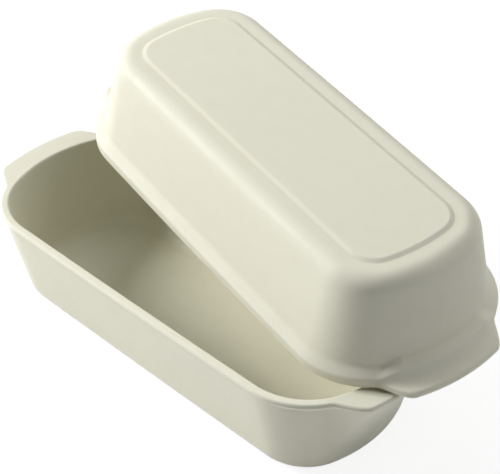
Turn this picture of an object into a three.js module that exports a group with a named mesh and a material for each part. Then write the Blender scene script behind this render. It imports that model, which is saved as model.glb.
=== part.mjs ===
// Lidded ceramic loaf baker: a deep pan with a grip tab at each end, and a tall lid of the same outline.
// Millimetres, +Z up. The origin is the middle of the pan's foot, and the pan's length lies along X.
import * as THREE from "three";

// Rim outline, shared by the pan and the lid so that the two rims match
const RIM_LENGTH = 363; // over the bowed ends, without the tabs
const RIM_WIDTH = 160; // at the middle of the sides
const SIDE_BOW = 1.5; // how far each side draws in from its middle to the ends
const CORNER_RADIUS = 56;
const CORNER_EASE = 0.91; // loss of corner radius for each unit of inset
const END_SWEEP = 54; // degrees that a bowed end turns through between its corners, at the rim
const TAB_REACH = 12.8; // of the tab's middle, beyond the bowed end
const TAB_RADIUS = 145; // of the tab's own edge
const TAB_WIDTH = 70.5; // where the tab has its full reach
const TAB_FADE = 15.5; // on each side, where the tab runs out into the corner

// Pan
const PAN_HEIGHT = 80;
const PAN_RIM_FACE = 6.8; // from the outer to the inner edge of the rim
const PAN_LIP = 3; // height of the lip at the rim
const PAN_OVERHANG = 1.8; // of the lip beyond the top of the wall
const PAN_COVE = 3; // height of the hollow curve between lip and wall
const PAN_COVE_RADIUS = 4;
const PAN_LIP_RADIUS = 1.3; // under the lip
const PAN_DRAFT = 16.5; // how far the wall leans in on its way down
const PAN_END_LEAN = 1; // inset at the ends for each unit of inset at the sides
const PAN_BOTTOM_RADIUS = 7.5;
const PAN_WALL = 6;
const PAN_FLOOR = 7;
const PAN_FLOOR_RADIUS = 11;
const PAN_TAB_DEPTH = 55; // from the lip down to where the tab has run out into the wall
const PAN_TAB_FLARE = 1.5; // power with which it runs out

// Lid
const LID_HEIGHT = 78; // from the rim to the shoulder of the crown
const LID_RIM_FACE = 9.5;
const LID_BAND = 8; // height of the flange's upright edge
const LID_BAND_RADIUS = 3; // where that edge turns in to the ledge
const LID_LEDGE = 7.5; // width of the sloping ledge on top of the flange
const LID_LEDGE_RISE = 5.5;
const LID_COVE_RADIUS = 6; // between ledge and wall
const LID_DRAFT = 13.7;
const LID_END_LEAN = 1.06;
const LID_CROWN_RADIUS = 13;
const LID_WALL = 6;
const LID_TOP = 7;
const LID_TOP_RADIUS = 11;
const LID_TAB_EDGE = 5.5; // thickness of the tab at its edge
const LID_TAB_RADIUS = 3; // of the tab's rounded upper edge
const LID_TAB_RISE = 6; // by which the ledge climbs over the tab's hollow root
const LID_TAB_FADE = 25; // height above the ledge in which that climb runs out into the wall

// Raised flat panel on the lid's crown, and the like one that the pan stands on
const PANEL_MARGIN = 4; // between the rounded edge and the panel's soft step
const PANEL_STEP = 3.2; // across the step
const PANEL_STEP_RADIUS = 3;
const CROWN_PANEL_HEIGHT = 1.3;
const FOOT_HEIGHT = 1.2;

// Both rims
const RIM_EDGE_RADIUS = 2;

// Lid as it lies askew on the pan, its tab on the pan's tab
const LID_YAW = -10.2; // degrees
const LID_PITCH = 5.56; // degrees
const LID_ROLL = 2.86; // degrees
const LID_ALONG = 24.5; // from the pan's middle to the lid's
const LID_ACROSS = 57.8;
const SEAT_GAP = 0.3;

// Fineness of the mesh
const END_STEPS = 16;
const CORNER_STEPS = 8;
const SIDE_STEPS = 4;
const FILLET_STEPS = 4;
const WALL_STEPS = 5;
const TAB_ROOT_STEPS = 7; // up the flange's upright edge
const TAB_EDGE_STEPS = 3; // of those, round the tab's upper edge
const SEAT_FINENESS = 24; // how many times finer the rim is sampled to set the lid down on it
const FILLET_ROOM = 0.98; // share of a stretch that the fillets at its ends may take up

const QUARTER = Math.PI / 2;

function arc(centreX, centreY, radius, from, to, steps) {
  return Array.from({ length: steps }, (_, i) => {
    const angle = THREE.MathUtils.lerp(from, to, i / steps);
    return new THREE.Vector2(centreX + radius * Math.cos(angle), centreY + radius * Math.sin(angle));
  });
}

function straight(from, to, steps) {
  return Array.from({ length: steps }, (_, i) => from.clone().lerp(to, i / steps));
}

// Closed outline without tabs, counter-clockwise, at a distance inside the rim's: sides, corner arcs and
// bowed ends, each stretch without its last point. Corners and bows ease off towards the middle.
function outline(inset, endLean = 1, fineness = 1) {
  const halfLength = RIM_LENGTH / 2 - endLean * inset;
  const halfWidth = RIM_WIDTH / 2 - inset;
  const radius = Math.max(CORNER_RADIUS - CORNER_EASE * inset, RIM_EDGE_RADIUS);
  const ease = radius / CORNER_RADIUS;
  const sweep = THREE.MathUtils.degToRad(END_SWEEP / 2) * ease;
  const cornerY = halfWidth - radius;
  const endRadius = radius + cornerY / Math.sin(sweep);
  const endX = halfLength - endRadius;
  const cornerX = endX + (endRadius - radius) * Math.cos(sweep);
  const half = [
    ...arc(endX, 0, endRadius, -sweep, sweep, END_STEPS * fineness),
    ...arc(cornerX, cornerY, radius, sweep, QUARTER, CORNER_STEPS * fineness),
    ...straight(
      new THREE.Vector2(cornerX, halfWidth), new THREE.Vector2(-cornerX, halfWidth), SIDE_STEPS * fineness),
    ...arc(-cornerX, cornerY, radius, QUARTER, 2 * QUARTER - sweep, CORNER_STEPS * fineness),
  ];
  const points = [...half, ...half.map((point) => point.clone().negate())];
  for (const point of points) {
    point.y *= 1 - ease * (SIDE_BOW / (RIM_WIDTH / 2)) * (point.x / (RIM_LENGTH / 2)) ** 2;
  }
  return points;
}

// Share of the tab at a point of the rim: 1 over the tab's width, 0 from the corners on. It rises at once
// from the corner and levels out into the tab: the notch is tight and the tab's own corner round.
function tabShare({ y }) {
  const edge = Math.min(TAB_WIDTH / 2 + TAB_FADE, RIM_WIDTH / 2 - SIDE_BOW);
  const up = THREE.MathUtils.clamp((edge - Math.abs(y)) / TAB_FADE, 0, 1);
  return up * (1 + up * (1 - up));
}

// How far the tab stands out from a point of the rim, along X.
function tabReach(point) {
  const edge = RIM_LENGTH / 2 + TAB_REACH - point.y ** 2 / (2 * TAB_RADIUS);
  return Math.sign(point.x) * tabShare(point) * Math.max(edge - Math.abs(point.x), 0);
}

// Ring round a piece at one point (inset, height) of its section. reach is the share of the tabs' reach
// that the ring has, and lift how far it climbs over the tabs.
function ring({ x: inset, y: height }, endLean, reach = 0, lift = 0) {
  const rim = outline(0);
  return outline(inset, endLean).map(({ x, y }, i) =>
    new THREE.Vector3(x + reach * tabReach(rim[i]), y, height + lift * tabShare(rim[i])));
}

// Section of a wall as points (inset, height) from corners [inset, height, fillet radius]. Where two fillets
// would meet on the stretch between them, both give way in proportion.
function section(corners) {
  const at = corners.map(([inset, height]) => new THREE.Vector2(inset, height));
  const towards = (i, j) => at[j].clone().sub(at[i]);
  const halfAngle = (i) => towards(i, i - 1).angleTo(towards(i, i + 1)) / 2;
  const setbacks = corners.map(([, , radius = 0], i) => (radius === 0 ? 0 : radius / Math.tan(halfAngle(i))));
  const limited = (i, j) => {
    const room = FILLET_ROOM * towards(i, j).length();
    return setbacks[i] * Math.min(1, room / (setbacks[i] + setbacks[j]));
  };
  return at.flatMap((corner, i) => {
    if (setbacks[i] === 0) return [corner];
    const setback = Math.min(limited(i, i - 1), limited(i, i + 1));
    const start = towards(i, i - 1).setLength(setback);
    const end = towards(i, i + 1).setLength(setback);
    const centre = start.clone().add(end).setLength(setback / Math.cos(halfAngle(i)));
    const from = start.clone().sub(centre).angle();
    const to = end.clone().sub(centre).angle();
    const turn = THREE.MathUtils.euclideanModulo(to - from + 2 * QUARTER, 4 * QUARTER) - 2 * QUARTER;
    const spoke = start.clone().sub(centre);
    return Array.from({ length: FILLET_STEPS + 1 }, (_, k) =>
      spoke.clone().rotateAround(new THREE.Vector2(), (turn * k) / FILLET_STEPS).add(centre).add(corner));
  });
}

// The stretch of a section between two corners, in equal steps, without the corners.
function between([insetA, heightA], [insetB, heightB], steps) {
  const start = new THREE.Vector2(insetA, heightA);
  return straight(start, new THREE.Vector2(insetB, heightB), steps).slice(1).map((point) => point.toArray());
}

// Closed solid through a run of rings that have equal numbers of points, with a flat cap on its first and
// its last ring.
function solid(rings) {
  const count = rings[0].length;
  const positions = rings.flat().flatMap((point) => point.toArray());
  const first = positions.length / 3;
  const last = first + 1;
  positions.push(0, 0, rings[0][0].z, 0, 0, rings.at(-1)[0].z);
  const faces = [];
  for (let j = 0; j < count; j += 1) {
    const next = (j + 1) % count;
    faces.push(first, next, j);
    for (let i = 0; i < rings.length - 1; i += 1) {
      const low = i * count;
      const high = low + count;
      faces.push(low + j, low + next, high + next, low + j, high + next, high + j);
    }
    const top = (rings.length - 1) * count;
    faces.push(last, top + j, top + next);
  }
  const geometry = new THREE.BufferGeometry();
  geometry.setAttribute("position", new THREE.Float32BufferAttribute(positions, 3));
  geometry.setIndex(faces);
  geometry.computeVertexNormals();
  return geometry;
}

// Pan: floor, wall, rim and tabs in one casting. The section runs from the foot up the outside, over the
// rim and down the inside.
function panGeometry() {
  const wallFoot = PAN_OVERHANG + PAN_DRAFT;
  const footEdge = wallFoot + PAN_BOTTOM_RADIUS + PANEL_MARGIN;
  const lipFoot = PAN_HEIGHT - PAN_LIP;
  const bottom = [wallFoot, FOOT_HEIGHT, PAN_BOTTOM_RADIUS];
  const wallTop = [PAN_OVERHANG, lipFoot - PAN_COVE, PAN_COVE_RADIUS];
  const outside = section([
    [footEdge + PANEL_STEP, 0],
    [footEdge, FOOT_HEIGHT, PANEL_STEP_RADIUS],
    bottom,
    ...between(bottom, wallTop, WALL_STEPS),
    wallTop,
    [0, lipFoot, PAN_LIP_RADIUS],
    [0, PAN_HEIGHT, RIM_EDGE_RADIUS],
    [PAN_RIM_FACE / 2, PAN_HEIGHT],
  ]);
  const floorEdge = wallFoot + PAN_WALL;
  const inside = section([
    [PAN_RIM_FACE / 2, PAN_HEIGHT],
    [PAN_RIM_FACE, PAN_HEIGHT, RIM_EDGE_RADIUS],
    [floorEdge, PAN_FLOOR, PAN_FLOOR_RADIUS],
    [floorEdge + PAN_FLOOR_RADIUS, PAN_FLOOR],
  ]).slice(1);
  const tabbed = (point) => {
    const depth = THREE.MathUtils.clamp((lipFoot - point.y) / PAN_TAB_DEPTH, 0, 1);
    return ring(point, PAN_END_LEAN, (1 - depth) ** PAN_TAB_FLARE);
  };
  return solid([...outside.map(tabbed), ...inside.map((point) => ring(point, PAN_END_LEAN))]);
}

// Lid, rim down: crown, wall, flange and tabs in one casting. The section runs from under the crown down
// the inside, over the rim and up the outside to the raised panel. At the tabs the flange's upright edge
// becomes a rounded lip with a hollow, quarter-round root.
function lidGeometry() {
  const crownEdge = LID_LEDGE + LID_DRAFT;
  const topEdge = crownEdge + LID_WALL;
  const under = LID_HEIGHT - LID_TOP;
  const inside = section([
    [topEdge + LID_TOP_RADIUS, under],
    [topEdge, under, LID_TOP_RADIUS],
    [LID_RIM_FACE, 0, RIM_EDGE_RADIUS],
    [LID_RIM_FACE / 2, 0],
  ]).slice(0, -1);
  const ledgeTop = LID_BAND + LID_LEDGE_RISE;
  const panelEdge = crownEdge + LID_CROWN_RADIUS + PANEL_MARGIN;
  const edgeFoot = LID_TAB_EDGE - LID_TAB_RADIUS;
  const root = [0, edgeFoot];
  const bandTop = [0, LID_BAND, LID_BAND_RADIUS];
  const wallFoot = [LID_LEDGE, ledgeTop, LID_COVE_RADIUS];
  const crown = [crownEdge, LID_HEIGHT, LID_CROWN_RADIUS];
  const outside = section([
    [LID_RIM_FACE / 2, 0],
    [0, 0, RIM_EDGE_RADIUS],
    root,
    ...between(root, bandTop, TAB_ROOT_STEPS).slice(0, -2), // the last steps are the rounded edge's
    bandTop,
    wallFoot,
    ...between(wallFoot, crown, WALL_STEPS),
    crown,
    [panelEdge, LID_HEIGHT, PANEL_STEP_RADIUS],
    [panelEdge + PANEL_STEP, LID_HEIGHT + CROWN_PANEL_HEIGHT],
  ]);
  const edgeShare = LID_TAB_RADIUS / TAB_REACH;
  const tabbed = (point) => {
    const steps = TAB_ROOT_STEPS * THREE.MathUtils.clamp((point.y - edgeFoot) / (LID_BAND - edgeFoot), 0, 1);
    const roundEdge = QUARTER * Math.min(steps / TAB_EDGE_STEPS, 1);
    const upRoot = QUARTER * Math.max((steps - TAB_EDGE_STEPS) / (TAB_ROOT_STEPS - TAB_EDGE_STEPS), 0);
    const reach = (1 - edgeShare * (1 - Math.cos(roundEdge))) * (1 - Math.sin(upRoot));
    const rise = LID_BAND + LID_TAB_RISE - LID_TAB_EDGE;
    const height = edgeFoot + LID_TAB_RADIUS * Math.sin(roundEdge) + rise * (1 - Math.cos(upRoot));
    const climb = steps > 0 ? height - Math.min(point.y, LID_BAND) : 0;
    const left = 1 - THREE.MathUtils.clamp((point.y - ledgeTop) / LID_TAB_FADE, 0, 1);
    return ring(point, LID_END_LEAN, reach, climb * left ** 2);
  };
  return solid([...inside.map((point) => ring(point, LID_END_LEAN)), ...outside.map(tabbed)]);
}

function holds(polygon, point) {
  return polygon.reduce((odd, a, i) => {
    const b = polygon[(i + 1) % polygon.length];
    const crosses = a.y > point.y !== b.y > point.y
      && point.x < a.x + ((b.x - a.x) * (point.y - a.y)) / (b.y - a.y);
    return crosses ? !odd : odd;
  }, false);
}

// Lays the tilted lid down until its rim is the seat gap above the highest-reaching point of the pan's rim
// that it covers.
function layOnPan(lid) {
  lid.position.set(LID_ALONG, LID_ACROSS, PAN_HEIGHT);
  lid.updateMatrixWorld();
  const withTabs = (point) => point.clone().setX(point.x + tabReach(point));
  const rimFace = outline(0).map(withTabs);
  const level = new THREE.Vector3(0, 0, 1).applyQuaternion(lid.quaternion).z;
  const reach = outline(0, 1, SEAT_FINENESS).map(withTabs)
    .map(({ x, y }) => lid.worldToLocal(new THREE.Vector3(x, y, PAN_HEIGHT)))
    .filter((point) => holds(rimFace, point))
    .map((point) => point.z);
  lid.position.z += (Math.max(...reach) + SEAT_GAP) / level;
}

const panGlaze = new THREE.MeshStandardMaterial({ color: 0xe6e4d6, roughness: 0.42, metalness: 0 });
const lidGlaze = new THREE.MeshStandardMaterial({ color: 0xe4e2d4, roughness: 0.42, metalness: 0 });

const pan = new THREE.Mesh(panGeometry(), panGlaze);
pan.name = "pan";

const lid = new THREE.Mesh(lidGeometry(), lidGlaze);
lid.name = "lid";
lid.rotation.set(...[LID_ROLL, LID_PITCH, LID_YAW].map(THREE.MathUtils.degToRad), "ZYX");
layOnPan(lid);

const loafBaker = new THREE.Group();
loafBaker.add(pan, lid);

export default loafBaker;
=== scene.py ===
import math

import bpy
from mathutils import Euler, Matrix, Vector


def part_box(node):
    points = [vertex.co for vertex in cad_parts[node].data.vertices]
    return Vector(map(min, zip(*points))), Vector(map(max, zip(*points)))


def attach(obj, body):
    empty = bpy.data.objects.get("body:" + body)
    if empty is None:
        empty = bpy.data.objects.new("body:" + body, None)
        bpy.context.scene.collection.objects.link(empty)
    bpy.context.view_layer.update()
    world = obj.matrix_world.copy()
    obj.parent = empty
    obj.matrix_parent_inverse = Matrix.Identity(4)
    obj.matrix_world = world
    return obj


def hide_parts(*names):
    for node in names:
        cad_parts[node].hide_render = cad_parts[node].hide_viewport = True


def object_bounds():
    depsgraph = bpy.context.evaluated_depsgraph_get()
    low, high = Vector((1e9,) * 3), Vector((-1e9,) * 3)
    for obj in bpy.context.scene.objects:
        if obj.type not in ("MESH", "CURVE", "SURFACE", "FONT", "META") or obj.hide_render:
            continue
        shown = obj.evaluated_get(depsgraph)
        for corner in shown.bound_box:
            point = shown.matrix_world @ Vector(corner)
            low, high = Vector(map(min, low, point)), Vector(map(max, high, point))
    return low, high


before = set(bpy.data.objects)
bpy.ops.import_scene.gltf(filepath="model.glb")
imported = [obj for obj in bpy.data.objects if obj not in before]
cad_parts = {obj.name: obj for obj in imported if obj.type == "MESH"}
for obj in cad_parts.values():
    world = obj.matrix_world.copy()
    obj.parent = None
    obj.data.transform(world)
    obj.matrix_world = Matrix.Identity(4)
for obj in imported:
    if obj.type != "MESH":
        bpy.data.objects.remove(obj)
cad_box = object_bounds()


# Camera
# A long lens looks down on the baker from beyond one end and one side, as a tabletop product shot does.
# The aim point is given across and up the picture, from the middle of the pan's foot.
VIEW_AZIMUTH = math.radians(44.16)
VIEW_ELEVATION = math.radians(38.43)
VIEW_DISTANCE = 1.1037
AIM_ACROSS = 0.0320
AIM_UP = 0.0743
LENS_MM = 104.56
SENSOR_MM = 36.0

back = Vector((
    math.sin(VIEW_AZIMUTH) * math.cos(VIEW_ELEVATION),
    -math.cos(VIEW_AZIMUTH) * math.cos(VIEW_ELEVATION),
    math.sin(VIEW_ELEVATION),
))
right = Vector((math.cos(VIEW_AZIMUTH), math.sin(VIEW_AZIMUTH), 0.0))
up = back.cross(right)

camera = bpy.data.objects.new("camera", bpy.data.cameras.new("camera"))
camera.data.lens = LENS_MM
camera.data.sensor_width = SENSOR_MM
camera.data.sensor_fit = "HORIZONTAL"
camera_place = right * AIM_ACROSS + up * AIM_UP + back * VIEW_DISTANCE
camera_turn = Matrix((right, up, back)).transposed().to_4x4()
camera.matrix_world = Matrix.Translation(camera_place) @ camera_turn
bpy.context.scene.collection.objects.link(camera)
bpy.context.scene.camera = camera


# Glaze
# The stoneware is dipped in one satin cream glaze. Its colour is painted paler over outer edges as a
# painted highlight and darker in hollows as painted shade, and it has the faint orange-peel skin and pin
# specks of a fired surface. The foot is wiped bare before firing.
GLAZE_CREAM = (0.810, 0.795, 0.655, 1.0)
# A paler tone for the random drift, and also the painted highlight along outer edges
GLAZE_PALE_AND_EDGE_HIGHLIGHT = (0.840, 0.825, 0.700, 1.0)
# A darker tone for the random mottle, and also the painted shade in hollows
GLAZE_MOTTLE_AND_HOLLOW_SHADE = (0.760, 0.743, 0.590, 1.0)
GLAZE_SPECK = (0.560, 0.510, 0.400, 1.0)
BARE_CLAY = (0.640, 0.560, 0.445, 1.0)
GLAZE_ROUGHNESS = (0.48, 0.58)
GLAZE_SPECULAR = 0.35
CLAY_ROUGHNESS = 0.85
NOISE_RANGE = (0.3, 0.7)
DRIFT_PER_METRE = 9.0
DRIFT_SHARE = 0.35
MOTTLE_PER_METRE = 95.0
MOTTLE_RANGE = (0.45, 0.75)
MOTTLE_SHARE = 0.22
# How far outer edges are painted paler, as a painted highlight
EDGE_HIGHLIGHT_SHARE = 0.7
# How far hollows are painted darker, as painted shade
HOLLOW_SHADE_SHARE = 0.8
SPECKS_PER_METRE = 170.0
SPECK_SIZE = 0.055
SPECK_SHARE = 0.35
PEEL_PER_METRE = 900.0
PEEL_DEPTH = 0.00004
PEEL_STRENGTH = 0.6


def add_node(tree, kind, inputs=None, **settings):
    """A new node with its own settings. Inputs are numbers to set or sockets to link."""
    node = tree.nodes.new(kind)
    for name, value in settings.items():
        setattr(node, name, value)
    for place, value in (inputs or {}).items():
        if isinstance(value, bpy.types.NodeSocket):
            tree.links.new(value, node.inputs[place])
        else:
            node.inputs[place].default_value = value
    return node


def blend_colours(tree, share, first, second):
    node = add_node(tree, "ShaderNodeMix", {"Factor": share}, data_type="RGBA")
    for socket, colour in zip(node.inputs[6:8], (first, second)):
        if isinstance(colour, bpy.types.NodeSocket):
            tree.links.new(colour, socket)
        else:
            socket.default_value = colour
    return node.outputs[2]


def spread(tree, value, low, high, to_low, to_high):
    sockets = {"Value": value, "From Min": low, "From Max": high, "To Min": to_low, "To Max": to_high}
    return add_node(tree, "ShaderNodeMapRange", sockets).outputs["Result"]


def make_glaze():
    glaze = bpy.data.materials.new("cream_glaze")
    glaze.use_nodes = True
    tree = glaze.node_tree
    shader = tree.nodes["Principled BSDF"]
    place = add_node(tree, "ShaderNodeTexCoord").outputs["Object"]

    def noise(per_metre, detail):
        sockets = {"Vector": place, "Scale": per_metre, "Detail": detail}
        return add_node(tree, "ShaderNodeTexNoise", sockets).outputs["Fac"]

    bend = add_node(tree, "ShaderNodeAttribute", attribute_name="bend").outputs["Fac"]
    bare = add_node(tree, "ShaderNodeAttribute", attribute_name="bare").outputs["Fac"]
    drift = noise(DRIFT_PER_METRE, detail=2.0)
    mottle = noise(MOTTLE_PER_METRE, detail=4.0)
    peel = noise(PEEL_PER_METRE, detail=2.0)
    cells = add_node(tree, "ShaderNodeTexVoronoi", {"Vector": place, "Scale": SPECKS_PER_METRE})

    drifted = spread(tree, drift, *NOISE_RANGE, 0.0, DRIFT_SHARE)
    mottled = spread(tree, mottle, *MOTTLE_RANGE, 0.0, MOTTLE_SHARE)
    # Painted highlight: the colour is made paler where the section turns out over an edge
    painted_edge_highlight = spread(tree, bend, 0.0, 1.0, 0.0, EDGE_HIGHLIGHT_SHARE)
    # Painted shade: the colour is made darker where the section turns into a hollow
    painted_hollow_shade = spread(tree, bend, 0.0, -1.0, 0.0, HOLLOW_SHADE_SHARE)
    speck = spread(tree, cells.outputs["Distance"], SPECK_SIZE, 0.5 * SPECK_SIZE, 0.0, SPECK_SHARE)
    tone = blend_colours(tree, drifted, GLAZE_CREAM, GLAZE_PALE_AND_EDGE_HIGHLIGHT)
    tone = blend_colours(tree, mottled, tone, GLAZE_MOTTLE_AND_HOLLOW_SHADE)
    tone = blend_colours(tree, painted_edge_highlight, tone, GLAZE_PALE_AND_EDGE_HIGHLIGHT)
    tone = blend_colours(tree, painted_hollow_shade, tone, GLAZE_MOTTLE_AND_HOLLOW_SHADE)
    tone = blend_colours(tree, speck, tone, GLAZE_SPECK)
    tone = blend_colours(tree, bare, tone, BARE_CLAY)
    tree.links.new(tone, shader.inputs["Base Color"])

    shader.inputs["Specular IOR Level"].default_value = GLAZE_SPECULAR
    glaze_rough = spread(tree, mottle, *NOISE_RANGE, *GLAZE_ROUGHNESS)
    sockets = {"Factor": bare, "A": glaze_rough, "B": CLAY_ROUGHNESS}
    rough = add_node(tree, "ShaderNodeMix", sockets).outputs["Result"]
    tree.links.new(rough, shader.inputs["Roughness"])

    sockets = {"Height": peel, "Distance": PEEL_DEPTH, "Strength": PEEL_STRENGTH}
    relief = add_node(tree, "ShaderNodeBump", sockets).outputs["Normal"]
    tree.links.new(relief, shader.inputs["Normal"])
    return glaze


cream_glaze = make_glaze()


# Pan
# The pan is one stoneware casting: floor, leaning wall, rim and the two grip tabs are a single body. Its
# section is carried round the rim's outline, straight along the sides, arched at corners and ends.
pan_low, pan_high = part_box("pan")
PAN_HEIGHT = pan_high.z
RIM_WIDTH = pan_high.y - pan_low.y
TAB_REACH = 0.0128
RIM_LENGTH = pan_high.x - pan_low.x - 2 * TAB_REACH
SIDE_BOW = 0.0015
CORNER_RADIUS = 0.056
CORNER_EASE = 0.91
END_SWEEP = math.radians(54.0)
TAB_RADIUS = 0.145
TAB_WIDTH = 0.0705
TAB_FADE = 0.0155
LEAST_RADIUS = 0.002
RIM_EDGE_RADIUS = 0.002
PAN_RIM_FACE = 0.0068
PAN_LIP = 0.003
PAN_OVERHANG = 0.0018
PAN_COVE = 0.003
PAN_COVE_RADIUS = 0.004
PAN_LIP_RADIUS = 0.0013
PAN_DRAFT = 0.0165
PAN_END_LEAN = 1.0
PAN_BOTTOM_RADIUS = 0.0075
PAN_WALL = 0.006
PAN_FLOOR = 0.007
PAN_FLOOR_RADIUS = 0.011
PAN_TAB_DEPTH = 0.055
PAN_TAB_FLARE = 1.5
PANEL_MARGIN = 0.004
PANEL_STEP = 0.0032
PANEL_STEP_RADIUS = 0.003
FOOT_HEIGHT = 0.0012
FILLET_ROOM = 0.98
FILLET_STEPS = 10
WALL_STEP = 0.0015
QUARTER_STEPS = 72
END_SHARE = 0.45
CORNER_SHARE = 0.37
CAP_SHARES = (0.8, 0.6, 0.4, 0.2, 0.0)
MERGE_WITHIN = 1e-6
BEND_RADIUS = 0.003
BEND_BLUR = 2


def section(corners):
    """Close points (inset, height) of a wall's section, from corners (inset, height, fillet radius)."""
    at = [Vector(corner[:2]) for corner in corners]

    def half_angle(i):
        return (at[i - 1] - at[i]).angle(at[i + 1] - at[i]) / 2

    setbacks = [radius and radius / math.tan(half_angle(i)) for i, (_, _, radius) in enumerate(corners)]

    def limited(i, j):
        room = FILLET_ROOM * (at[j] - at[i]).length
        return setbacks[i] * min(1.0, room / (setbacks[i] + setbacks[j]))

    points = []
    for i, corner in enumerate(at):
        if not setbacks[i]:
            points.append(corner)
            continue
        setback = min(limited(i, i - 1), limited(i, i + 1))
        start, end = (setback * (at[j] - corner).normalized() for j in (i - 1, i + 1))
        centre = (start + end).normalized() * setback / math.cos(half_angle(i))
        spoke = start - centre
        turn = -spoke.angle_signed(end - centre)
        for k in range(FILLET_STEPS + 1):
            points.append(corner + centre + Matrix.Rotation(turn * k / FILLET_STEPS, 2) @ spoke)
    close = points[:1]
    for point in points[1:]:
        steps = max(1, math.ceil((point - close[-1]).length / WALL_STEP))
        close += [close[-1].lerp(point, k / steps) for k in range(1, steps + 1)]
    return close


def bends(points):
    """How sharply the section turns at each point: 1 on a tight outer edge, -1 in a tight hollow."""
    turns = [0.0]
    for a, b, c in zip(points, points[1:], points[2:]):
        into, out = b - a, c - b
        turns.append(into.angle_signed(out) / (into.length + out.length) * 2 * BEND_RADIUS)
    turns.append(0.0)
    sharp = [max(-1.0, min(1.0, t)) for t in turns]
    around = [sharp[max(0, i - BEND_BLUR):i + BEND_BLUR + 1] for i in range(len(sharp))]
    return [sum(values) / len(values) for values in around]


def section_mesh(name, points, tabs, lifts, bare):
    """The section as a bare line of vertices that carry what the casting tree asks of each."""
    caps = len(CAP_SHARES)
    rows = [points[0]] * caps + points + [points[-1]] * caps
    pad = [0.0] * caps
    values = {
        "tab": pad + tabs + pad,
        "lift": pad + lifts + pad,
        "middle": [*reversed(CAP_SHARES), *([1.0] * len(points)), *CAP_SHARES],
        "bend": pad + bends(points) + pad,
        "bare": [bare[0]] * caps + bare + [bare[-1]] * caps,
    }
    mesh = bpy.data.meshes.new(name)
    mesh.from_pydata([(p.x, 0.0, p.y) for p in rows], [(i, i + 1) for i in range(len(rows) - 1)], [])
    for attribute, numbers in values.items():
        mesh.attributes.new(attribute, "FLOAT", "POINT").data.foreach_set("value", numbers)
    return mesh


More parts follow.
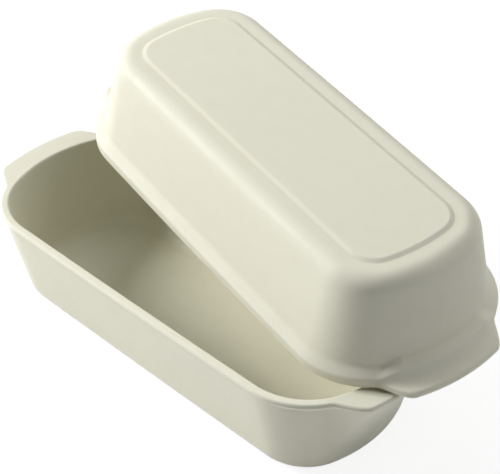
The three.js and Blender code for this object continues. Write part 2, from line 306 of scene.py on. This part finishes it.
def casting_tree():
    """Carries a section, x its inset from the rim and z its height, round the rim's outline."""
    tree = bpy.data.node_groups.new("casting_round_the_rim", "GeometryNodeTree")
    face = tree.interface
    face.new_socket("Section", in_out="INPUT", socket_type="NodeSocketGeometry")
    for name in (
        "Rim Length", "Rim Width", "Side Bow", "Corner Radius", "Corner Ease", "End Sweep", "End Lean",
        "Tab Reach", "Tab Radius", "Tab Width", "Tab Fade",
    ):
        face.new_socket(name, in_out="INPUT", socket_type="NodeSocketFloat")
    face.new_socket("Quarter Steps", in_out="INPUT", socket_type="NodeSocketInt")
    face.new_socket("Glaze", in_out="INPUT", socket_type="NodeSocketMaterial")
    face.new_socket("Casting", in_out="OUTPUT", socket_type="NodeSocketGeometry")
    given = tree.nodes.new("NodeGroupInput").outputs

    def calc(operation, *values, **settings):
        node = add_node(tree, "ShaderNodeMath", dict(enumerate(values)), operation=operation, **settings)
        return node.outputs[0]

    def sampled(value, kind="FLOAT"):
        sockets = {"Geometry": given["Section"], "Value": value, "Index": row}
        return add_node(tree, "GeometryNodeSampleIndex", sockets, data_type=kind).outputs[0]

    def named(attribute):
        sockets = {"Name": attribute}
        return add_node(tree, "GeometryNodeInputNamedAttribute", sockets, data_type="FLOAT").outputs[0]

    # A grid with a row for each point of the section and a column for each step round the outline
    counted = add_node(tree, "GeometryNodeAttributeDomainSize", {"Geometry": given["Section"]})
    columns = calc("ADD", calc("MULTIPLY", given["Quarter Steps"], 4.0), 1.0)
    sockets = {"Vertices X": counted.outputs["Point Count"], "Vertices Y": columns}
    grid = add_node(tree, "GeometryNodeMeshGrid", sockets).outputs["Mesh"]
    index = add_node(tree, "GeometryNodeInputIndex").outputs[0]
    row = calc("FLOOR", calc("DIVIDE", index, columns))
    quarters = calc("DIVIDE", calc("MODULO", index, columns), given["Quarter Steps"])

    # Where this column lies in its quarter: first the bowed end, then the corner, then the long side
    along = calc("PINGPONG", quarters, 1.0)
    on_end = calc("DIVIDE", along, END_SHARE, use_clamp=True)
    on_corner = calc("DIVIDE", calc("SUBTRACT", along, END_SHARE), CORNER_SHARE, use_clamp=True)
    past_corner = calc("SUBTRACT", along, END_SHARE + CORNER_SHARE)
    on_side = calc("DIVIDE", past_corner, 1.0 - END_SHARE - CORNER_SHARE, use_clamp=True)
    past_end = calc("GREATER_THAN", along, END_SHARE)
    rim_half_length = calc("MULTIPLY", given["Rim Length"], 0.5)
    rim_half_width = calc("MULTIPLY", given["Rim Width"], 0.5)

    def outline_at(inset):
        """Where this column meets the outline that lies inside the rim's by an inset."""
        half_length = calc("SUBTRACT", rim_half_length, calc("MULTIPLY", given["End Lean"], inset))
        half_width = calc("SUBTRACT", rim_half_width, inset)
        eased = calc("SUBTRACT", given["Corner Radius"], calc("MULTIPLY", given["Corner Ease"], inset))
        radius = calc("MAXIMUM", eased, LEAST_RADIUS)
        ease = calc("DIVIDE", radius, given["Corner Radius"])
        sweep = calc("MULTIPLY", calc("MULTIPLY", given["End Sweep"], 0.5), ease)
        corner_y = calc("SUBTRACT", half_width, radius)
        end_to_corner = calc("DIVIDE", corner_y, calc("SINE", sweep))
        end_radius = calc("ADD", radius, end_to_corner)
        end_x = calc("SUBTRACT", half_length, end_radius)
        corner_x = calc("MULTIPLY_ADD", end_to_corner, calc("COSINE", sweep), end_x)
        end_angle = calc("MULTIPLY", sweep, on_end)
        corner_angle = calc("MULTIPLY_ADD", calc("SUBTRACT", math.pi / 2, sweep), on_corner, sweep)
        end_point = (
            calc("MULTIPLY_ADD", end_radius, calc("COSINE", end_angle), end_x),
            calc("MULTIPLY", end_radius, calc("SINE", end_angle)),
        )
        side_x = calc("MULTIPLY", corner_x, calc("SUBTRACT", 1.0, on_side))
        corner_point = (
            calc("MULTIPLY_ADD", radius, calc("COSINE", corner_angle), side_x),
            calc("MULTIPLY_ADD", radius, calc("SINE", corner_angle), corner_y),
        )
        x, y = (
            add_node(tree, "ShaderNodeMix", {"Factor": past_end, "A": a, "B": b}).outputs["Result"]
            for a, b in zip(end_point, corner_point)
        )
        bow = calc("DIVIDE", given["Side Bow"], rim_half_width)
        eased_bow = calc("MULTIPLY", bow, ease)
        drawn_in = calc("MULTIPLY", eased_bow, calc("POWER", calc("DIVIDE", x, rim_half_length), 2.0))
        return x, calc("MULTIPLY", y, calc("SUBTRACT", 1.0, drawn_in))

    position = sampled(add_node(tree, "GeometryNodeInputPosition").outputs[0], "FLOAT_VECTOR")
    place = add_node(tree, "ShaderNodeSeparateXYZ", {0: position}).outputs
    x, y = outline_at(place["X"])

    # The tab draws the end outwards to a flatter arc of its own, and fades into the corner on each side
    rim_x, rim_y = outline_at(0.0)
    tab_half = calc("MULTIPLY_ADD", given["Tab Width"], 0.5, given["Tab Fade"])
    tab_end = calc("MINIMUM", tab_half, calc("SUBTRACT", rim_half_width, given["Side Bow"]))
    up = calc("DIVIDE", calc("SUBTRACT", tab_end, rim_y), given["Tab Fade"], use_clamp=True)
    tab_share = calc("MULTIPLY", up, calc("MULTIPLY_ADD", up, calc("SUBTRACT", 1.0, up), 1.0))
    sag = calc("DIVIDE", calc("MULTIPLY", rim_y, rim_y), calc("MULTIPLY", given["Tab Radius"], 2.0))
    tab_edge = calc("SUBTRACT", calc("ADD", rim_half_length, given["Tab Reach"]), sag)
    reach = calc("MULTIPLY", tab_share, calc("MAXIMUM", calc("SUBTRACT", tab_edge, rim_x), 0.0))
    x = calc("MULTIPLY_ADD", reach, sampled(named("tab")), x)
    z = calc("MULTIPLY_ADD", tab_share, sampled(named("lift")), place["Z"])

    # The quarter is mirrored to the other three, and a cap's rings close in on the middle
    far_half = calc("LESS_THAN", calc("ABSOLUTE", calc("SUBTRACT", quarters, 2.0)), 1.0)
    near_half = calc("GREATER_THAN", quarters, 2.0)
    middle = sampled(named("middle"))
    for_x = calc("MULTIPLY", middle, calc("MULTIPLY_ADD", far_half, -2.0, 1.0))
    for_y = calc("MULTIPLY", middle, calc("MULTIPLY_ADD", near_half, -2.0, 1.0))
    sockets = {"X": calc("MULTIPLY", x, for_x), "Y": calc("MULTIPLY", y, for_y), "Z": z}
    spot = add_node(tree, "ShaderNodeCombineXYZ", sockets).outputs[0]
    shell = add_node(tree, "GeometryNodeSetPosition", {"Geometry": grid, "Position": spot}).outputs[0]
    for attribute in ("bend", "bare"):
        sockets = {"Geometry": shell, "Name": attribute, "Value": sampled(named(attribute))}
        shell = add_node(tree, "GeometryNodeStoreNamedAttribute", sockets, data_type="FLOAT").outputs[0]
    sockets = {"Geometry": shell, "Distance": MERGE_WITHIN}
    shell = add_node(tree, "GeometryNodeMergeByDistance", sockets).outputs[0]
    shell = add_node(tree, "GeometryNodeFlipFaces", {"Mesh": shell}).outputs[0]
    shell = add_node(tree, "GeometryNodeSetShadeSmooth", {"Geometry": shell}).outputs[0]
    shell = add_node(tree, "GeometryNodeRealizeInstances", {"Geometry": shell}).outputs[0]
    sockets = {"Geometry": shell, "Material": given["Glaze"]}
    shell = add_node(tree, "GeometryNodeSetMaterial", sockets).outputs[0]
    add_node(tree, "NodeGroupOutput", {"Casting": shell})
    return tree


def cast(name, line, end_lean, tree):
    """A finished piece, its section carried round the outline and turned into a plain mesh."""
    mould = bpy.data.objects.new(name + "_mould", line)
    bpy.context.scene.collection.objects.link(mould)
    modifier = mould.modifiers.new("casting", "NODES")
    modifier.node_group = tree
    sizes = {
        "Rim Length": RIM_LENGTH, "Rim Width": RIM_WIDTH, "Side Bow": SIDE_BOW,
        "Corner Radius": CORNER_RADIUS, "Corner Ease": CORNER_EASE, "End Sweep": END_SWEEP,
        "End Lean": end_lean, "Tab Reach": TAB_REACH, "Tab Radius": TAB_RADIUS, "Tab Width": TAB_WIDTH,
        "Tab Fade": TAB_FADE, "Quarter Steps": QUARTER_STEPS, "Glaze": cream_glaze,
    }
    for socket in tree.interface.items_tree:
        if socket.name in sizes:
            modifier[socket.identifier] = sizes[socket.name]
    evaluated = mould.evaluated_get(bpy.context.evaluated_depsgraph_get())
    piece = bpy.data.objects.new(name, bpy.data.meshes.new_from_object(evaluated))
    piece.data.name = name
    bpy.data.objects.remove(mould)
    bpy.context.scene.collection.objects.link(piece)
    return piece


wall_foot = PAN_OVERHANG + PAN_DRAFT
foot_edge = wall_foot + PAN_BOTTOM_RADIUS + PANEL_MARGIN
lip_foot = PAN_HEIGHT - PAN_LIP
pan_outside = section([
    (foot_edge + PANEL_STEP, 0.0, 0.0),
    (foot_edge, FOOT_HEIGHT, PANEL_STEP_RADIUS),
    (wall_foot, FOOT_HEIGHT, PAN_BOTTOM_RADIUS),
    (PAN_OVERHANG, lip_foot - PAN_COVE, PAN_COVE_RADIUS),
    (0.0, lip_foot, PAN_LIP_RADIUS),
    (0.0, PAN_HEIGHT, RIM_EDGE_RADIUS),
    (PAN_RIM_FACE / 2, PAN_HEIGHT, 0.0),
])
floor_edge = wall_foot + PAN_WALL
pan_inside = section([
    (PAN_RIM_FACE / 2, PAN_HEIGHT, 0.0),
    (PAN_RIM_FACE, PAN_HEIGHT, RIM_EDGE_RADIUS),
    (floor_edge, PAN_FLOOR, PAN_FLOOR_RADIUS),
    (floor_edge + PAN_FLOOR_RADIUS, PAN_FLOOR, 0.0),
])[1:]


def pan_tab(height):
    """Share of the tab's reach that the pan's wall has at a height."""
    depth = max(0.0, (lip_foot - height) / PAN_TAB_DEPTH)
    return (1.0 - min(1.0, depth)) ** PAN_TAB_FLARE


casting = casting_tree()
pan_tabs = [pan_tab(p.y) for p in pan_outside] + [0.0] * len(pan_inside)
pan_bare = [float(p.y < FOOT_HEIGHT / 2) for p in pan_outside] + [0.0] * len(pan_inside)
pan_lifts = [0.0] * len(pan_tabs)
pan_line = section_mesh("pan_section", pan_outside + pan_inside, pan_tabs, pan_lifts, pan_bare)
pan = cast("loaf_pan", pan_line, PAN_END_LEAN, casting)
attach(pan, "pan")
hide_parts("pan")


# Lid
# The lid is a second casting on the same outline, so that the two rims match. Its wall flares to a flange
# with two tabs, and its crown has a low raised panel. It lies askew on the pan.
LID_HEIGHT = 0.078
LID_RIM_FACE = 0.0095
LID_BAND = 0.008
LID_BAND_RADIUS = 0.003
LID_LEDGE = 0.0075
LID_LEDGE_RISE = 0.0055
LID_COVE_RADIUS = 0.006
LID_DRAFT = 0.0137
LID_END_LEAN = 1.06
LID_CROWN_RADIUS = 0.013
LID_WALL = 0.006
LID_TOP = 0.007
LID_TOP_RADIUS = 0.011
LID_TAB_EDGE = 0.0055
LID_TAB_RADIUS = 0.003
LID_TAB_EDGE_SHARE = 3 / 7
LID_TAB_RISE = 0.006
LID_TAB_FADE = 0.025
BAND_STEPS = 35
BAND_UPRIGHT = 0.7
CROWN_PANEL_HEIGHT = 0.0013
LID_TURN = Euler((math.radians(2.86), math.radians(5.56), math.radians(-10.2)), "XYZ")

crown_edge = LID_LEDGE + LID_DRAFT
top_edge = crown_edge + LID_WALL
lid_inside = section([
    (top_edge + LID_TOP_RADIUS, LID_HEIGHT - LID_TOP, 0.0),
    (top_edge, LID_HEIGHT - LID_TOP, LID_TOP_RADIUS),
    (LID_RIM_FACE, 0.0, RIM_EDGE_RADIUS),
    (LID_RIM_FACE / 2, 0.0, 0.0),
])[:-1]
ledge_top = LID_BAND + LID_LEDGE_RISE
panel_edge = crown_edge + LID_CROWN_RADIUS + PANEL_MARGIN
panel_top = LID_HEIGHT + CROWN_PANEL_HEIGHT
edge_foot = LID_TAB_EDGE - LID_TAB_RADIUS
band_row = (LID_BAND - edge_foot) / BAND_STEPS
band_rows = [edge_foot + band_row * k for k in range(int(BAND_STEPS * BAND_UPRIGHT))]
lid_outside = section([
    (LID_RIM_FACE / 2, 0.0, 0.0),
    (0.0, 0.0, RIM_EDGE_RADIUS),
    *((0.0, height, 0.0) for height in band_rows),
    (0.0, LID_BAND, LID_BAND_RADIUS),
    (LID_LEDGE, ledge_top, LID_COVE_RADIUS),
    (crown_edge, LID_HEIGHT, LID_CROWN_RADIUS),
    (panel_edge, LID_HEIGHT, PANEL_STEP_RADIUS),
    (panel_edge + PANEL_STEP, panel_top, PANEL_STEP_RADIUS),
    (panel_edge + 2 * PANEL_STEP, panel_top, 0.0),
])


def lid_tab(height):
    """The flange's share of the tab's reach at a height, and how far it climbs there over the tab."""
    up = max(0.0, min(1.0, (height - edge_foot) / (LID_BAND - edge_foot)))
    round_edge = math.pi / 2 * min(1.0, up / LID_TAB_EDGE_SHARE)
    up_root = math.pi / 2 * max(0.0, (up - LID_TAB_EDGE_SHARE) / (1.0 - LID_TAB_EDGE_SHARE))
    reach = (1.0 - LID_TAB_RADIUS / TAB_REACH * (1.0 - math.cos(round_edge))) * (1.0 - math.sin(up_root))
    rise = (LID_BAND + LID_TAB_RISE - LID_TAB_EDGE) * (1.0 - math.cos(up_root))
    climb = 0.0
    if up > 0:
        climb = edge_foot + LID_TAB_RADIUS * math.sin(round_edge) + rise - min(height, LID_BAND)
    left = 1.0 - max(0.0, min(1.0, (height - ledge_top) / LID_TAB_FADE))
    return reach, climb * left ** 2


plain = [0.0] * len(lid_inside)
lid_tabs, lid_lifts = (plain + list(values) for values in zip(*(lid_tab(p.y) for p in lid_outside)))
lid_bare = [0.0] * len(lid_tabs)
lid_line = section_mesh("lid_section", lid_inside + lid_outside, lid_tabs, lid_lifts, lid_bare)
lid = cast("loaf_lid", lid_line, LID_END_LEAN, casting)
lid.data.transform(LID_TURN.to_matrix().to_4x4())
lid_middle = sum(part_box("lid"), Vector()) / 2
reaches = [[v.co[axis] for v in lid.data.vertices] for axis in range(3)]
lid.data.transform(Matrix.Translation(lid_middle - Vector([(min(r) + max(r)) / 2 for r in reaches])))
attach(lid, "lid")
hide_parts("lid")


# Floor and light
# A seamless white tabletop under three soft boxes: a strong key low on the left, a weak fill from the
# right and a weak top light from behind. The floor glows only where it is seen, a little less near the
# baker, so that it looks white and still shows the soft shadow.
FLOOR_SIZE = 6.0
FLOOR_WHITE = 0.90
FLOOR_SHADE = 0.22
FLOOR_GLOW = 0.87
GLOW_EVEN_WITHIN = 0.6
GLOW_WHITE_FROM = 1.8
AMBIENT = 0.01
LIGHT_DISTANCE = 3.2
KEY_FROM = Vector((-0.770, -0.448, 0.454))
KEY_SIZE = 1.2
KEY_WATTS = 108.0
FILL_FROM = Vector((0.476, 0.431, 0.766))
FILL_SIZE = 2.2
FILL_WATTS = 32.0
TOP_FROM = Vector((-0.294, 0.303, 0.906))
TOP_SIZE = 2.2
TOP_WATTS = 27.0


def seen_directly(tree):
    """1 on rays that come from the camera, off a shiny surface or through glass, and 0 on the rest."""
    path = add_node(tree, "ShaderNodeLightPath").outputs
    total = path["Is Camera Ray"]
    for ray in ("Is Glossy Ray", "Is Transmission Ray"):
        total = add_node(tree, "ShaderNodeMath", {0: total, 1: path[ray]}, use_clamp=True).outputs[0]
    return total


def white_floor():
    material = bpy.data.materials.new("white_floor")
    material.use_nodes = True
    tree = material.node_tree
    tree.nodes.remove(tree.nodes["Principled BSDF"])

    def matt(grey):
        return add_node(tree, "ShaderNodeBsdfDiffuse", {"Color": (grey, grey, grey, 1.0)}).outputs[0]

    place = add_node(tree, "ShaderNodeTexCoord").outputs["Object"]
    away = add_node(tree, "ShaderNodeVectorMath", {0: place}, operation="LENGTH").outputs["Value"]
    strength = spread(tree, away, GLOW_EVEN_WITHIN, GLOW_WHITE_FROM, FLOOR_GLOW, 1.0)
    glow = add_node(tree, "ShaderNodeEmission", {"Strength": strength}).outputs[0]
    seen = add_node(tree, "ShaderNodeAddShader", {0: matt(FLOOR_SHADE), 1: glow}).outputs[0]
    sockets = {0: seen_directly(tree), 1: matt(FLOOR_WHITE), 2: seen}
    both = add_node(tree, "ShaderNodeMixShader", sockets)
    tree.links.new(both.outputs[0], tree.nodes["Material Output"].inputs["Surface"])
    return material


floor_mesh = bpy.data.meshes.new("floor")
half = FLOOR_SIZE / 2
floor_corners = [(-half, -half, 0), (half, -half, 0), (half, half, 0), (-half, half, 0)]
floor_mesh.from_pydata(floor_corners, [], [(0, 1, 2, 3)])
floor_mesh.materials.append(white_floor())
floor = bpy.data.objects.new("floor", floor_mesh)
bpy.context.scene.collection.objects.link(floor)

world = bpy.data.worlds.new("studio")
world.use_nodes = True
bpy.context.scene.world = world
surround = world.node_tree.nodes["Background"]
surround.inputs["Color"].default_value = (1.0, 1.0, 1.0, 1.0)
brightness = spread(world.node_tree, seen_directly(world.node_tree), 0.0, 1.0, AMBIENT, 1.0)
world.node_tree.links.new(brightness, surround.inputs["Strength"])


def softbox(name, direction, size, watts):
    light = bpy.data.lights.new(name, "AREA")
    light.size = size
    light.energy = watts
    box = bpy.data.objects.new(name, light)
    toward = direction.normalized()
    box.location = sum(cad_box, Vector()) / 2 + toward * LIGHT_DISTANCE
    box.rotation_euler = toward.to_track_quat("Z", "Y").to_euler()
    bpy.context.scene.collection.objects.link(box)


softbox("key_light", KEY_FROM, KEY_SIZE, KEY_WATTS)
softbox("fill_light", FILL_FROM, FILL_SIZE, FILL_WATTS)
softbox("top_light", TOP_FROM, TOP_SIZE, TOP_WATTS)
bpy.context.scene.view_settings.view_transform = "Standard"
